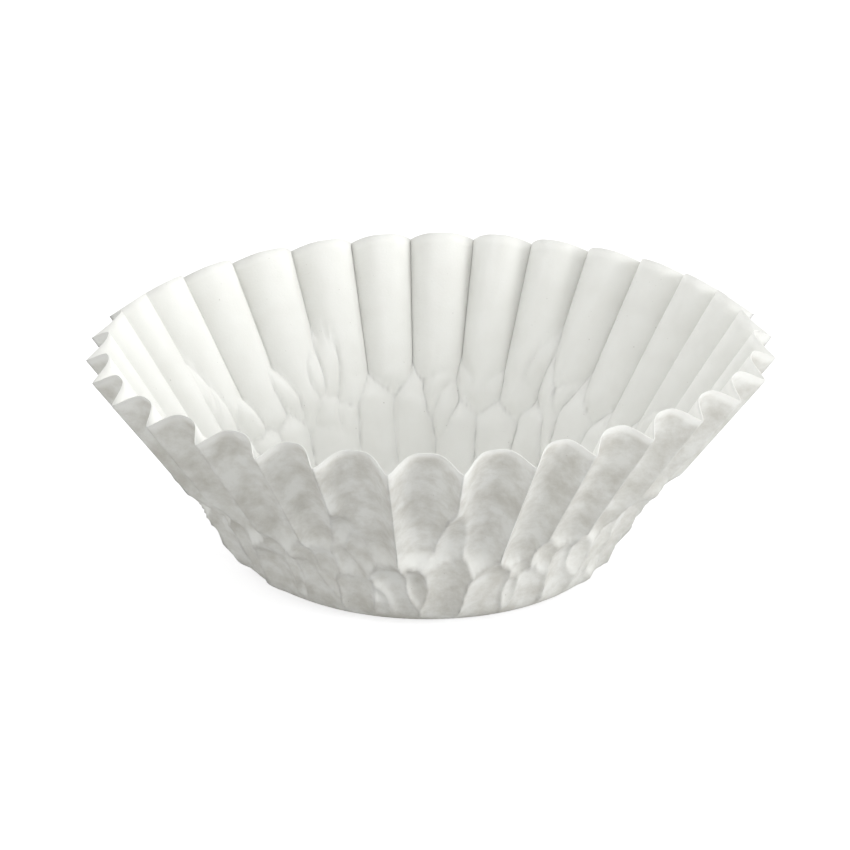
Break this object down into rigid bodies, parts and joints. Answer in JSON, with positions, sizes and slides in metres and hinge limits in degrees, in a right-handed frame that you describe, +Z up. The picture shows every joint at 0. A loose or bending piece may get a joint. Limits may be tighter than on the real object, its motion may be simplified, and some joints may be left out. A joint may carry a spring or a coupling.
{
  "type": "paper coffee filter",
  "caption": "Open fluted cup of thin white paper with a flat round base, for holding ground coffee in a flat-bottomed brew basket.",
  "frame": {"origin": "middle of the base's underside, on the surface it stands on", "axes": "+Z up through the open mouth; -Y towards the viewer, through the middle of one flute's panel; +X to the viewer's right"},
  "size_m": [0.1582, 0.1582, 0.0537],
  "materials": {
    "paper": "matte"
  },
  "bodies": {
    "root": {"paper_filter": "paper"}
  },
  "joints": []
}
